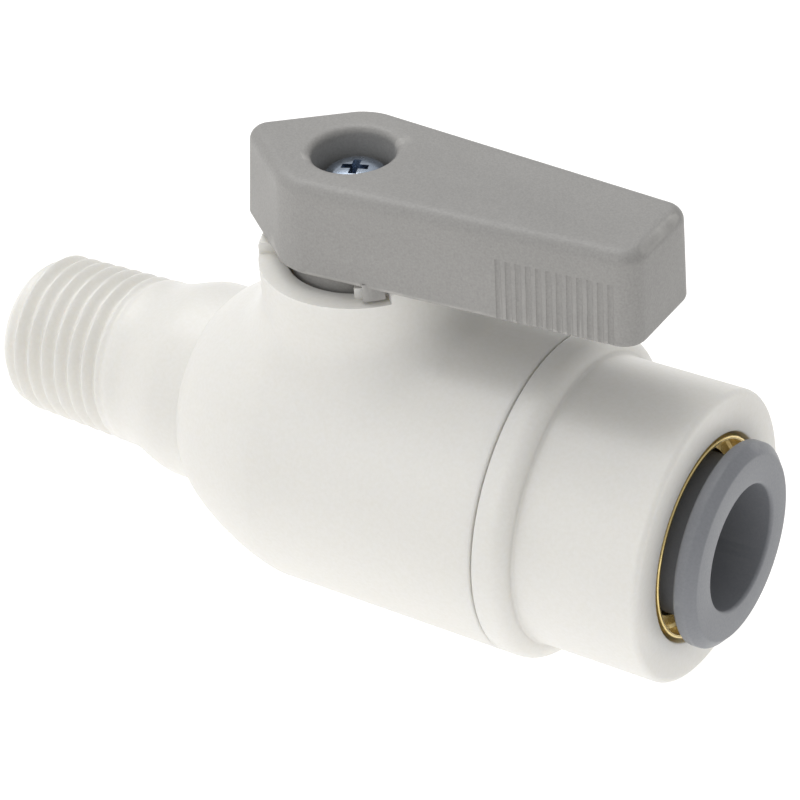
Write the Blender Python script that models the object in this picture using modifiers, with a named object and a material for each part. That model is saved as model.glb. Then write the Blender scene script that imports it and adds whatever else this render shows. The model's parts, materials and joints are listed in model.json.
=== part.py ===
"""Quarter-turn ball valve: tapered male pipe thread on one end, push-in tube port on the other.

The flow axis is X, from the thread's end face at x = 0 to the release collet's mouth.
The stem axis is parallel to Z, at x = STEM_X. The valve is drawn open, with its lever along +X.
Every size is in metres.
"""

import math

import bmesh
import bpy
from mathutils import Matrix

MM = 0.001
GAP = 0.3 * MM
ROUND_STEPS = 36
RING_STEPS = 30
ARC_STEPS = 6
OBJECT_NAME = "quarter_turn_valve"

# Stations along the flow axis
STEM_X = 33.3 * MM
THREAD_LENGTH = 11.6 * MM
STUB_X = 17.2 * MM
DOME_START = 19.6 * MM
DOME_END = 29.6 * MM
BODY_END = 49.2 * MM
FLANGE_END = 52.1 * MM
TUBE_STOP = 47.3 * MM
SEAL_CHAMBER = 52.8 * MM
SLEEVE_CHAMBER = 56.3 * MM
PORT_FACE = 62.25 * MM
COLLET_FACE = 65.0 * MM

# Outer radii
BODY_R = 12.8 * MM
PORT_R = 11.3 * MM
STUB_R = 8.1 * MM
THREAD_TIP_R = 5.5 * MM
THREAD_R = 6.55 * MM
THREAD_DEPTH = 0.75 * MM
THREAD_PITCH = 25.4 / 18 * MM
THREAD_TAPER = 1 / 32
THREAD_CHAMFER = 1.5 * MM
DOME_POWER = 1.35
FLANGE_ROUND = 1.3 * MM

# Ball, seats and the chambers that hold them, measured from the ball's centre
BALL_R = 8.0 * MM
BORE_R = 3.25 * MM
SEAT_R = 7.0 * MM
SEAT_BORE_R = 3.7 * MM
SEAT_BACK = 9.3 * MM
SEAT_POCKET = 5.7 * MM
SEAT_SEAL_R = 5.6 * MM
CAVITY_R = 8.7 * MM
SPIGOT_R = 9.6 * MM
O_RING_R = 0.6 * MM
BODY_SEAL_X = 46.3 * MM
BODY_SEAL_R = 9.0 * MM

# Stem and the boss around it, as heights above the flow axis
SLOT_FLOOR = 5.9 * MM
SLOT_WIDTH = 2.6 * MM
TONGUE_LENGTH = 6.4 * MM
COLLAR_Z = 8.4 * MM
COLLAR_TOP = 9.7 * MM
COLLAR_R = 4.9 * MM
WASHER_Z = 10.0 * MM
WASHER_HEIGHT = 0.5 * MM
STEM_R = 3.6 * MM
STEM_SEAL_R = 3.1 * MM
STEM_SEAL_SECTION = 0.5 * MM
STEM_SEAL_HEIGHTS = (12.1 * MM, 14.4 * MM)
RECESS_FLOOR = 15.7 * MM
RECESS_R = 5.8 * MM
STEM_TOP = 19.6 * MM
DRIVE_SIDE = 5.0 * MM
BOSS_R = 7.85 * MM
BOSS_ROOT = 6.0 * MM
BOSS_TOP = 17.7 * MM
LEDGE_TOP = 16.8 * MM
LEDGE_R = 6.5 * MM
NOTCH_ANGLES = (-152, -41)
WALL_START = -62

# Lever
LEVER_BOTTOM = 18.1 * MM
LEVER_TOP = 25.65 * MM
LEVER_TIP = 25.7 * MM
LEVER_NOSE = 9.8 * MM
NOSE_HALF_WIDTH = 0.75 * MM
SHOULDER_X = -2.45 * MM
SHOULDER_HALF_WIDTH = 6.5 * MM
TIP_HALF_WIDTH = 4.3 * MM
LEVER_DRAFT = 0.3 * MM
NOSE_DRAFT = 0.75 * MM
LEVER_EDGE = 1.0 * MM
HUB_R = 5.4 * MM
HUB_BOTTOM = 16.0 * MM
SOCKET_TOP = 19.9 * MM
WEB_TOP = 20.9 * MM
SCREW_WELL_R = 3.15 * MM
RIB_CELLS = ((8.7, 13.1, 3.5), (14.3, 18.7, 3.2), (19.9, 23.9, 2.9))
CELL_TOP = 24.0 * MM
TAB_BOTTOM = 17.05 * MM
TAB_RADII = (6.8 * MM, 7.4 * MM)
TAB_ANGLES = (-56.5, -43.5)

# Screw
SCREW_R = 1.5 * MM
SCREW_ROOT_R = 1.15 * MM
SCREW_PITCH = 0.9 * MM
SCREW_HOLE_R = 1.8 * MM
SCREW_TIP = 16.0 * MM
HEAD_R = 2.5 * MM
HEAD_HEIGHT = 2.3 * MM
HEAD_SEAT = 21.9 * MM
SCREW_WASHER_Z = 21.2 * MM
SCREW_WASHER_HEIGHT = 0.4 * MM
SCREW_WASHER_R = 2.8 * MM

# Tube port
TUBE_SOCKET_R = 4.95 * MM
TUBE_SEAL_SECTION = 0.8 * MM
COLLET_BORE_R = 4.85 * MM
COLLET_R = 6.2 * MM
COLLET_LIP_R = 7.0 * MM
COLLET_FLANGE_R = 7.9 * MM
SLEEVE_R = 7.8 * MM
SLEEVE_INNER_R = 7.5 * MM
CHAMBER_R = 8.1 * MM
SEAL_CHAMBER_R = 6.8 * MM
GRAB_TEETH = 10


def clear_scene():
    for old in list(bpy.data.objects):
        bpy.data.objects.remove(old)


def new_collection(name):
    made = bpy.data.collections.new(name)
    bpy.context.scene.collection.children.link(made)
    return made


def finish(name, colour, roughness, metallic=0.0):
    made = bpy.data.materials.new(name)
    made.use_nodes = True
    shader = made.node_tree.nodes["Principled BSDF"]
    shader.inputs["Base Color"].default_value = (*colour, 1.0)
    shader.inputs["Roughness"].default_value = roughness
    shader.inputs["Metallic"].default_value = metallic
    return made


def place(name, mesh, collection, material=None):
    """Link a mesh as a named object; helpers get no material and are kept out of the render."""
    made = bpy.data.objects.new(name, mesh)
    collection.objects.link(made)
    if material:
        mesh.materials.append(material)
        mesh.shade_smooth()
        mesh.set_sharp_from_angle(angle=math.radians(35))
    else:
        made.hide_render = True
        made.display_type = "WIRE"
    return made


def mesh_from(name, work):
    mesh = bpy.data.meshes.new(name)
    work.to_mesh(mesh)
    work.free()
    return mesh


def signed_area(points):
    following = points[1:] + points[:1]
    return sum(a[0] * b[1] - b[0] * a[1] for a, b in zip(points, following)) / 2


def turned(name, profile, collection, material=None, axis="X", at=0.0):
    """Revolve (station, radius) points round X, or round the stem axis with axis Z.

    A profile whose two ends lie on the axis stays open there, and any other is closed.
    """
    points = [(radius, station) for station, radius in profile]
    if signed_area(points) > 0:
        points.reverse()
    work = bmesh.new()
    corners = [work.verts.new((radius, 0, station)) for radius, station in points]
    for first, second in zip(corners, corners[1:]):
        work.edges.new((first, second))
    if points[0][0] > 0 or points[-1][0] > 0:
        work.edges.new((corners[-1], corners[0]))
    made = place(name, mesh_from(name, work), collection, material)
    if axis == "X":
        made.rotation_euler = (0, math.pi / 2, 0)
        made.location = (at, 0, 0)
    else:
        made.location = (STEM_X, 0, at)
        made.rotation_euler = (0, 0, math.pi / ROUND_STEPS)
    screw = made.modifiers.new("turn", "SCREW")
    screw.steps = screw.render_steps = ROUND_STEPS
    screw.use_merge_vertices = True
    screw.merge_threshold = 1e-5
    screw.use_smooth_shade = bool(material)
    return made


def box(name, low, high, collection, turn=0.0):
    """Helper block between two corners given from the stem axis, turned about that axis."""
    work = bmesh.new()
    size = [b - a for a, b in zip(low, high)]
    middle = [(a + b) / 2 for a, b in zip(low, high)]
    scale = Matrix.Diagonal((*size, 1.0))
    bmesh.ops.create_cube(work, size=1.0, matrix=Matrix.Translation(middle) @ scale)
    made = place(name, mesh_from(name, work), collection)
    made.location = (STEM_X, 0, 0)
    made.rotation_euler = (0, 0, turn)
    return made


def torus(name, major, minor, station, collection, material, axis="X"):
    bpy.ops.mesh.primitive_torus_add(
        major_radius=major, minor_radius=minor, major_segments=RING_STEPS, minor_segments=8
    )
    made = bpy.context.active_object
    made.name = name
    for holder in list(made.users_collection):
        holder.objects.unlink(made)
    collection.objects.link(made)
    made.data.materials.append(material)
    made.data.shade_smooth()
    if axis == "X":
        made.rotation_euler = (0, math.pi / 2, 0)
        made.location = (station, 0, 0)
    else:
        made.location = (STEM_X, 0, station)
    return made


def combine(target, helper, operation):
    step = target.modifiers.new(helper.name, "BOOLEAN")
    step.operation = operation
    step.object = helper
    step.solver = "EXACT"


def cut(target, helper):
    combine(target, helper, "DIFFERENCE")


def join(target, helper):
    combine(target, helper, "UNION")


def arc(centre, radius, start, end, steps=ARC_STEPS):
    """Points on a circle, as (first + radius * cos, second + radius * sin), angles in degrees."""
    angles = [math.radians(start + (end - start) * i / steps) for i in range(steps + 1)]
    return [(centre[0] + radius * math.cos(a), centre[1] + radius * math.sin(a)) for a in angles]


def rounded_outline(corners):
    """Replace each (x, y, radius) corner of a polygon by an arc that is tangent to its two sides."""
    outline = []
    for index, (x, y, radius) in enumerate(corners):
        before = corners[index - 1]
        after = corners[(index + 1) % len(corners)]
        towards_before = math.atan2(before[1] - y, before[0] - x)
        towards_after = math.atan2(after[1] - y, after[0] - x)
        opening = (towards_after - towards_before + math.pi) % (2 * math.pi) - math.pi
        middle = towards_before + opening / 2
        reach = radius / math.sin(abs(opening) / 2)
        centre = (x + reach * math.cos(middle), y + reach * math.sin(middle))
        sweep = math.degrees(math.pi - abs(opening)) * math.copysign(1, opening)
        first = math.degrees(middle) + 180 + sweep / 2
        outline += arc(centre, radius, first, first - sweep, 5)
    return outline


def sector_outline(radii, angles):
    inner = arc((0, 0), radii[0], angles[1], angles[0], 12)
    outer = arc((0, 0), radii[1], angles[0], angles[1], 12)
    return inner + outer


def notch_outline():
    """Plan of the boss's cut-down sector: a ledge for the lever's tab, with a thin wall kept inside it."""
    start, end = NOTCH_ANGLES
    outer = arc((0, 0), BOSS_R + 1 * MM, start, end, 16)
    ledge = arc((0, 0), LEDGE_R, end, WALL_START, 4)
    inner = arc((0, 0), RECESS_R - 0.7 * MM, WALL_START, start, 14)
    return outer + ledge + inner


def plate(name, outline, bottom, top, collection, material=None, draft=0.0, nose_draft=0.0):
    """Extrude an outline given from the stem axis; drafts draw the top in, at the sides and the nose."""
    work = bmesh.new()
    base = work.faces.new([work.verts.new((x, y, bottom)) for x, y in outline])
    bmesh.ops.recalc_face_normals(work, faces=[base])
    if base.normal.z > 0:
        base.normal_flip()
    made = bmesh.ops.extrude_face_region(work, geom=[base])
    raised = [item for item in made["geom"] if isinstance(item, bmesh.types.BMVert)]
    reach = max(abs(y) for _, y in outline)
    nose = -min(x for x, _ in outline)
    for corner in raised:
        corner.co.z = top
        corner.co.y *= 1 - draft / reach
        if corner.co.x < 0:
            corner.co.x *= 1 - nose_draft / nose
    bmesh.ops.recalc_face_normals(work, faces=work.faces)
    placed = place(name, mesh_from(name, work), collection, material)
    placed.location = (STEM_X, 0, 0)
    return placed


def weigh_edges(obj, weights):
    """Give horizontal edges at a height a bevel weight, from {height: weight}."""
    layer = obj.data.attributes.new("bevel_weight_edge", "FLOAT", "EDGE")
    for edge in obj.data.edges:
        heights = [obj.data.vertices[i].co.z for i in edge.vertices]
        for height, weight in weights.items():
            if all(abs(z - height) < 1e-6 for z in heights):
                layer.data[edge.index].value = weight


def dome_profile():
    """Outer line from the stub up to the full body radius."""
    points = []
    for i in range(ARC_STEPS + 1):
        turn = math.pi / 2 * i / ARC_STEPS
        along = math.cos(turn) ** (2 / DOME_POWER)
        up = math.sin(turn) ** (2 / DOME_POWER)
        station = DOME_END - (DOME_END - DOME_START) * along
        points.append((station, STUB_R + (BODY_R - STUB_R) * up))
    return points


def thread_profile():
    """Rings with the thread's pitch and taper, after the chamfered tip."""
    points = [(0, THREAD_TIP_R)]
    station = THREAD_CHAMFER
    while station + THREAD_PITCH < THREAD_LENGTH:
        crest = THREAD_R + station * THREAD_TAPER
        points += [(station, crest), (station + THREAD_PITCH / 2, crest - THREAD_DEPTH)]
        station += THREAD_PITCH
    return points + [(station, THREAD_R + station * THREAD_TAPER)]


def stub_profile():
    """S-shaped flare from the thread's run-out to the thicker stub."""
    start_r = THREAD_R + THREAD_LENGTH * THREAD_TAPER
    points = []
    for i in range(ARC_STEPS + 1):
        share = i / ARC_STEPS
        eased = share * share * (3 - 2 * share)
        station = THREAD_LENGTH + 0.6 * MM + (STUB_X - THREAD_LENGTH - 0.6 * MM) * share
        points.append((station, start_r + (STUB_R - start_r) * eased))
    return points


def seat_pocket(side):
    """Inner line of a seat pocket, from the bore out to its mouth; side is -1 upstream, 1 downstream."""
    face = SEAT_BACK + GAP
    groove_floor = face + 2 * O_RING_R + GAP
    groove_low = SEAT_SEAL_R - O_RING_R - GAP
    groove_high = SEAT_SEAL_R + O_RING_R + GAP
    line = [
        (face, BORE_R),
        (face, groove_low),
        (groove_floor, groove_low),
        (groove_floor, groove_high),
        (face, groove_high),
        (face, SEAT_R + GAP),
        (SEAT_POCKET, SEAT_R + GAP),
    ]
    return [(STEM_X + side * station, radius) for station, radius in line]


def make_valve_body(parts, helpers, material):
    """Thread, stub, dome and barrel turned as one, with the stem boss joined on and the ways bored out."""
    outer = [(0, 0)] + thread_profile() + stub_profile() + dome_profile()
    body = turned("valve_body", outer + [(BODY_END, BODY_R), (BODY_END, 0)], parts, material)
    boss_line = [(BOSS_ROOT, 0.0), (BOSS_ROOT, BOSS_R), (BOSS_TOP, BOSS_R), (BOSS_TOP, 0.0)]
    join(body, turned("boss_form", boss_line, helpers, axis="Z"))
    barrel_bore = SPIGOT_R + GAP
    over = 1 * MM
    flow_way = [(-over, 0), (-over, BORE_R)] + seat_pocket(-1)
    flow_way += [
        (STEM_X - SEAT_POCKET, CAVITY_R),
        (STEM_X + SEAT_POCKET - GAP, CAVITY_R),
        (STEM_X + SEAT_POCKET - GAP, barrel_bore),
        (BODY_END + over, barrel_bore),
        (BODY_END + over, 0),
    ]
    cut(body, turned("flow_way_cutter", flow_way, helpers))
    stem_way = [
        (5.0 * MM, 0.0),
        (5.0 * MM, COLLAR_R + GAP),
        (WASHER_Z + WASHER_HEIGHT + GAP, COLLAR_R + GAP),
        (WASHER_Z + WASHER_HEIGHT + GAP, STEM_R + GAP),
        (RECESS_FLOOR, STEM_R + GAP),
        (RECESS_FLOOR, RECESS_R),
        (BOSS_TOP + 1 * MM, RECESS_R),
        (BOSS_TOP + 1 * MM, 0.0),
    ]
    cut(body, turned("stem_way_cutter", stem_way, helpers, axis="Z"))
    notch = plate("notch_cutter", notch_outline(), LEDGE_TOP, BOSS_TOP + 0.7 * MM, helpers)
    cut(body, notch)
    return body


def make_end_adapter(parts, material):
    """Spigot, flange and port collar, bored for the seat, the tube and the grip parts."""
    groove_half = O_RING_R + GAP
    groove_r = BODY_SEAL_R - O_RING_R - GAP
    outer = [
        (STEM_X + SEAT_POCKET, SPIGOT_R),
        (BODY_SEAL_X - groove_half, SPIGOT_R),
        (BODY_SEAL_X - groove_half, groove_r),
        (BODY_SEAL_X + groove_half, groove_r),
        (BODY_SEAL_X + groove_half, SPIGOT_R),
        (BODY_END + GAP, SPIGOT_R),
        (BODY_END + GAP, BODY_R),
    ]
    shoulder = arc((FLANGE_END - FLANGE_ROUND, BODY_R - FLANGE_ROUND), FLANGE_ROUND, 90, 0, 5)
    rim = 0.5 * MM
    mouth = arc((PORT_FACE - rim, PORT_R - rim), rim, 90, 0, 4)
    inner = [
        (PORT_FACE, CHAMBER_R),
        (SLEEVE_CHAMBER, CHAMBER_R),
        (SLEEVE_CHAMBER, SEAL_CHAMBER_R),
        (SEAL_CHAMBER, SEAL_CHAMBER_R),
        (SEAL_CHAMBER, TUBE_SOCKET_R),
        (TUBE_STOP, TUBE_SOCKET_R),
        (TUBE_STOP, BORE_R),
    ]
    line = outer + shoulder + [(FLANGE_END, PORT_R)] + mouth + inner + seat_pocket(1)
    return turned("end_adapter", line, parts, material)


def make_ball(parts, helpers, material):
    """Sphere with the flow bore along X and the stem's slot across its top."""
    start = math.degrees(math.asin(BORE_R / BALL_R))
    line = arc((0, 0), BALL_R, 180 - start, start, 14)
    ball = turned("ball", line, parts, material, at=STEM_X)
    half = SLOT_WIDTH / 2
    cut(ball, box("ball_slot_cutter", (-half, -BALL_R, SLOT_FLOOR), (half, BALL_R, 2 * BALL_R), helpers))
    return ball


def make_seat(name, side, parts, material):
    """Ring with a face hollowed to the ball; side is -1 upstream, 1 downstream."""
    reach = BALL_R + GAP
    low = math.degrees(math.asin(SEAT_BORE_R / reach))
    high = math.degrees(math.asin(SEAT_R / reach))
    line = arc((0, 0), reach, low, high, 6) + [(SEAT_BACK, SEAT_R), (SEAT_BACK, SEAT_BORE_R)]
    return turned(name, [(side * station, radius) for station, radius in line], parts, material, at=STEM_X)


def make_seat_seal(name, side, parts, material):
    station = STEM_X + side * (SEAT_BACK + GAP + O_RING_R)
    return torus(name, SEAT_SEAL_R, O_RING_R, station, parts, material)


def make_stem(parts, helpers, material):
    """Tongue, thrust collar, two seal grooves, square drive and the screw's pilot hole."""
    line = [(COLLAR_Z, 0.0), (COLLAR_Z, COLLAR_R), (COLLAR_TOP, COLLAR_R), (COLLAR_TOP, STEM_R)]
    half = STEM_SEAL_SECTION + GAP
    floor = STEM_SEAL_R - STEM_SEAL_SECTION - GAP
    for height in STEM_SEAL_HEIGHTS:
        line += [(height - half, STEM_R), (height - half, floor)]
        line += [(height + half, floor), (height + half, STEM_R)]
    drive_base = HUB_BOTTOM
    line += [(drive_base, STEM_R), (drive_base, 0.0)]
    stem = turned("stem", line, parts, material, axis="Z")
    tongue = SLOT_WIDTH / 2 - GAP
    low = (-tongue, -TONGUE_LENGTH / 2, SLOT_FLOOR + GAP)
    join(stem, box("tongue_form", low, (tongue, TONGUE_LENGTH / 2, COLLAR_Z + GAP), helpers))
    side = DRIVE_SIDE / 2
    join(stem, box("drive_form", (-side, -side, drive_base - GAP), (side, side, STEM_TOP), helpers))
    hole = [(SCREW_TIP - GAP, 0.0), (SCREW_TIP - GAP, SCREW_HOLE_R), (LEVER_TOP, SCREW_HOLE_R), (LEVER_TOP, 0.0)]
    cut(stem, turned("pilot_cutter", hole, helpers, axis="Z"))
    return stem


def make_stem_washer(parts, material):
    top = WASHER_Z + WASHER_HEIGHT
    inner = STEM_R + GAP
    line = [(WASHER_Z, inner), (WASHER_Z, COLLAR_R), (top, COLLAR_R), (top, inner)]
    return turned("stem_thrust_washer", line, parts, material, axis="Z")


def lever_outline():
    """Plan of the lever from the stem axis: blunt nose, widest beside the stem, tapering to the tip."""
    half = [
        (-LEVER_NOSE, NOSE_HALF_WIDTH, 1.2 * MM),
        (SHOULDER_X, SHOULDER_HALF_WIDTH, 4.0 * MM),
        (LEVER_TIP, TIP_HALF_WIDTH, 1.4 * MM),
    ]
    return rounded_outline(half + [(x, -y, radius) for x, y, radius in reversed(half)])


def make_lever(parts, helpers, material):
    """Grip with a hub, a square socket, a screw well, a ribbed underside and a stop tab."""
    drafts = (LEVER_DRAFT, NOSE_DRAFT)
    lever = plate("lever", lever_outline(), LEVER_BOTTOM, LEVER_TOP, parts, material, *drafts)
    weigh_edges(lever, {LEVER_TOP: 1.0, LEVER_BOTTOM: 0.3})
    edge = lever.modifiers.new("edge", "BEVEL")
    edge.limit_method = "WEIGHT"
    edge.width = LEVER_EDGE
    edge.segments = 3
    edge.use_clamp_overlap = False
    hub = [(HUB_BOTTOM, 0.0), (HUB_BOTTOM, HUB_R), (LEVER_BOTTOM + 1 * MM, HUB_R), (LEVER_BOTTOM + 1 * MM, 0.0)]
    join(lever, turned("hub_form", hub, helpers, axis="Z"))
    tab = plate("tab_form", sector_outline(TAB_RADII, TAB_ANGLES), TAB_BOTTOM, LEVER_BOTTOM + 0.4 * MM, helpers)
    join(lever, tab)
    side = DRIVE_SIDE / 2 + GAP
    cut(lever, box("socket_cutter", (-side, -side, HUB_BOTTOM - 1 * MM), (side, side, SOCKET_TOP), helpers))
    for index, (start, end, half_width) in enumerate(RIB_CELLS):
        low = (start * MM, -half_width * MM, LEVER_BOTTOM - 1 * MM)
        high = (end * MM, half_width * MM, CELL_TOP)
        cut(lever, box(f"cell_cutter_{index + 1}", low, high, helpers))
    flare = 0.5 * MM
    well = [(SOCKET_TOP - 1 * MM, 0.0), (SOCKET_TOP - 1 * MM, SCREW_HOLE_R), (WEB_TOP, SCREW_HOLE_R), (WEB_TOP, SCREW_WELL_R)]
    well += [(LEVER_TOP - flare, SCREW_WELL_R), (LEVER_TOP + flare, SCREW_WELL_R + 2 * flare), (LEVER_TOP + flare, 0.0)]
    cut(lever, turned("screw_well_cutter", well, helpers, axis="Z"))
    return lever


def make_lever_screw(parts, helpers, material):
    """Pan-head screw with a ringed shank and a cross recess."""
    seat = HEAD_SEAT
    line = [(SCREW_TIP, 0.0), (SCREW_TIP, SCREW_ROOT_R)]
    station = SCREW_TIP + SCREW_PITCH / 2
    while station + SCREW_PITCH < seat:
        line += [(station, SCREW_R), (station + SCREW_PITCH / 2, SCREW_ROOT_R)]
        station += SCREW_PITCH
    line += [(seat, SCREW_ROOT_R), (seat, HEAD_R), (seat + HEAD_HEIGHT / 2, HEAD_R)]
    for i in range(1, 6):
        turn = math.pi / 2 * i / 5
        line.append((seat + HEAD_HEIGHT / 2 * (1 + math.sin(turn)), HEAD_R * math.cos(turn) ** 0.6))
    line[-1] = (seat + HEAD_HEIGHT, 0.0)
    screw = turned("lever_screw", line, parts, material, axis="Z")
    wing = 1.55 * MM
    blade = 0.4 * MM
    floor = seat + 0.9 * MM
    for index, turn in enumerate((20, 110)):
        low = (-wing, -blade, floor)
        high = (wing, blade, seat + 2 * HEAD_HEIGHT)
        cut(screw, box(f"recess_cutter_{index + 1}", low, high, helpers, math.radians(turn)))
    return screw


def make_screw_washer(parts, material):
    top = SCREW_WASHER_Z + SCREW_WASHER_HEIGHT
    line = [(SCREW_WASHER_Z, SCREW_HOLE_R), (SCREW_WASHER_Z, SCREW_WASHER_R)]
    line += [(top, SCREW_WASHER_R), (top, SCREW_HOLE_R)]
    return turned("screw_washer", line, parts, material, axis="Z")


def make_tube_seal(parts, material):
    station = SEAL_CHAMBER + GAP + TUBE_SEAL_SECTION
    return torus("tube_o_ring", TUBE_SOCKET_R + TUBE_SEAL_SECTION, TUBE_SEAL_SECTION, station, parts, material)


def make_backup_ring(parts, material):
    start = SLEEVE_CHAMBER - 1.3 * MM
    end = SLEEVE_CHAMBER - GAP
    inner = TUBE_SOCKET_R + 0.1 * MM
    outer = SEAL_CHAMBER_R - GAP
    line = [(start, inner), (start, outer), (end, outer), (end, inner)]
    return turned("tube_backup_ring", line, parts, material)


def make_grab_ring(parts, helpers, material):
    """Spring washer whose inner edge is cut into teeth that lean towards the tube stop."""
    thickness = 0.35 * MM
    start = SLEEVE_CHAMBER + GAP
    bend = 6.5 * MM
    lean = 0.25 * MM
    tip = TUBE_SOCKET_R + 0.05 * MM
    rim = CHAMBER_R - GAP
    line = [(start - lean, tip), (start, bend), (start, rim)]
    line += [(start + thickness, rim), (start + thickness, bend), (start + thickness - lean, tip)]
    ring = turned("grab_ring", line, parts, material)
    for index in range(GRAB_TEETH):
        work = bmesh.new()
        size = Matrix.Diagonal((4 * MM, 1.0 * MM, 2 * MM, 1.0))
        out = Matrix.Translation((0, 0, tip + 0.35 * MM))
        turn = Matrix.Rotation(2 * math.pi * index / GRAB_TEETH, 4, "X")
        bmesh.ops.create_cube(work, size=1.0, matrix=turn @ out @ size)
        name = f"tooth_gap_cutter_{index + 1}"
        gap = place(name, mesh_from(name, work), helpers)
        gap.location = (start, 0, 0)
        cut(ring, gap)
    return ring


def make_retainer_sleeve(parts, material):
    """Thin metal liner of the port, with an inner lip that keeps the collet in."""
    start = SLEEVE_CHAMBER + 1.0 * MM
    lip_start = 59.5 * MM
    lip_end = 60.6 * MM
    lip_r = COLLET_R + GAP
    line = [
        (start, COLLET_LIP_R + GAP),
        (start, SLEEVE_R),
        (PORT_FACE, SLEEVE_R),
        (PORT_FACE, SLEEVE_INNER_R),
        (lip_end, SLEEVE_INNER_R),
        (lip_end, lip_r),
        (lip_start, lip_r),
        (lip_start, COLLET_LIP_R + GAP),
    ]
    return turned("retainer_sleeve", line, parts, material)


def make_release_collet(parts, helpers, material):
    """Split sleeve with a retaining lip inside the port and a thumb flange outside it."""
    lip_start = 58.6 * MM
    lip_end = 59.2 * MM
    flange_back = 63.4 * MM
    flange_edge = 64.3 * MM
    line = [
        (lip_start - 0.2 * MM, COLLET_BORE_R),
        (lip_start - 0.2 * MM, COLLET_R),
        (lip_start, COLLET_LIP_R),
        (lip_end, COLLET_LIP_R),
        (lip_end, COLLET_R),
        (flange_back, COLLET_R),
        (flange_back, COLLET_FLANGE_R - 0.3 * MM),
        (flange_back + 0.3 * MM, COLLET_FLANGE_R),
        (flange_edge, COLLET_FLANGE_R),
        (COLLET_FACE, COLLET_FLANGE_R - 0.7 * MM),
        (COLLET_FACE, COLLET_BORE_R + 0.25 * MM),
        (COLLET_FACE - 0.4 * MM, COLLET_BORE_R),
    ]
    collet = turned("release_collet", line, parts, material)
    for index, turn in enumerate((45, 135)):
        work = bmesh.new()
        size = Matrix.Diagonal((4.6 * MM, 20 * MM, 1.0 * MM, 1.0))
        spin = Matrix.Rotation(math.radians(turn), 4, "X")
        bmesh.ops.create_cube(work, size=1.0, matrix=spin @ size)
        name = f"collet_slot_cutter_{index + 1}"
        slot = place(name, mesh_from(name, work), helpers)
        slot.location = (lip_start, 0, 0)
        cut(collet, slot)
    return collet


def main():
    clear_scene()
    parts = new_collection(OBJECT_NAME)
    helpers = new_collection(OBJECT_NAME + "_helpers")
    white = finish("white_moulding", (0.82, 0.80, 0.74), 0.42)
    grey = finish("grey_lever_plastic", (0.30, 0.29, 0.28), 0.55)
    collet_grey = finish("grey_collet_plastic", (0.24, 0.25, 0.27), 0.45)
    natural = finish("natural_seat_plastic", (0.86, 0.86, 0.84), 0.35)
    ball_white = finish("polished_ball_plastic", (0.75, 0.76, 0.77), 0.2)
    rubber = finish("black_rubber", (0.02, 0.02, 0.02), 0.6)
    zinc = finish("zinc_plate", (0.62, 0.66, 0.72), 0.3, 1.0)
    spring_steel = finish("spring_steel", (0.6, 0.6, 0.6), 0.3, 1.0)
    brass = finish("brass_liner", (0.75, 0.6, 0.3), 0.3, 1.0)
    make_valve_body(parts, helpers, white)
    make_end_adapter(parts, white)
    torus("body_seal_o_ring", BODY_SEAL_R, O_RING_R, BODY_SEAL_X, parts, rubber)
    make_ball(parts, helpers, ball_white)
    for name, side in (("inlet", -1), ("outlet", 1)):
        make_seat(f"{name}_ball_seat", side, parts, natural)
        make_seat_seal(f"{name}_seat_o_ring", side, parts, rubber)
    make_stem(parts, helpers, collet_grey)
    for name, height in zip(("lower", "upper"), STEM_SEAL_HEIGHTS):
        torus(f"stem_o_ring_{name}", STEM_SEAL_R, STEM_SEAL_SECTION, height, parts, rubber, axis="Z")
    make_stem_washer(parts, natural)
    make_lever(parts, helpers, grey)
    make_lever_screw(parts, helpers, zinc)
    make_screw_washer(parts, zinc)
    make_tube_seal(parts, rubber)
    make_backup_ring(parts, natural)
    make_grab_ring(parts, helpers, spring_steel)
    make_retainer_sleeve(parts, brass)
    make_release_collet(parts, helpers, collet_grey)


main()
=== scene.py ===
"""Looks of a quarter-turn ball valve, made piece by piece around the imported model.

The flow axis is X, from the pipe thread's end face at x = 0 to the release collet's mouth. The
stem axis stands parallel to Z. Sizes are given in millimetres and turned into metres by MM.
"""

import json
import logging
import math
from dataclasses import dataclass
from enum import Enum
from typing import Any, Callable, Iterable, Sequence

import bmesh
import bpy
from mathutils import Matrix, Vector


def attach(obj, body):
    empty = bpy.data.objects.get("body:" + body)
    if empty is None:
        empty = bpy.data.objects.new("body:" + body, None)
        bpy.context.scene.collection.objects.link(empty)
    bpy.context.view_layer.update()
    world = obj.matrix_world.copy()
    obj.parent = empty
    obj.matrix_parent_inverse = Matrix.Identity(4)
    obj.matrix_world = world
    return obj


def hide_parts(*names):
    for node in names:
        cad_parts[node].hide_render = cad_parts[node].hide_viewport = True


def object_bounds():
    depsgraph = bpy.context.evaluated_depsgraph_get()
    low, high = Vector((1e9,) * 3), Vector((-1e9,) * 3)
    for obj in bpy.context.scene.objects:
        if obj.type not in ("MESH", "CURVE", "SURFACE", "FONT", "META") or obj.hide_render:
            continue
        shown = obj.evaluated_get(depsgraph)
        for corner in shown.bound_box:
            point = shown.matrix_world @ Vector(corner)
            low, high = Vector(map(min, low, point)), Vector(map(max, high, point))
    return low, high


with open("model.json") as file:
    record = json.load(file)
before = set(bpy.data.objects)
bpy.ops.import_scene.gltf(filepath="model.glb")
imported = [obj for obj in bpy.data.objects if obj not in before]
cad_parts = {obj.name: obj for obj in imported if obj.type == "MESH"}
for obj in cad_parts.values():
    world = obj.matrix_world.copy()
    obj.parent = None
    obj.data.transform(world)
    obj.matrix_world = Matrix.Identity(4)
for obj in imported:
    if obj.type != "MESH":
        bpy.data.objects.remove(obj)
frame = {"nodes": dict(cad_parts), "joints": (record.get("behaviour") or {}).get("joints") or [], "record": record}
CAD_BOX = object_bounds()
LOG = logging.getLogger("valve")

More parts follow.
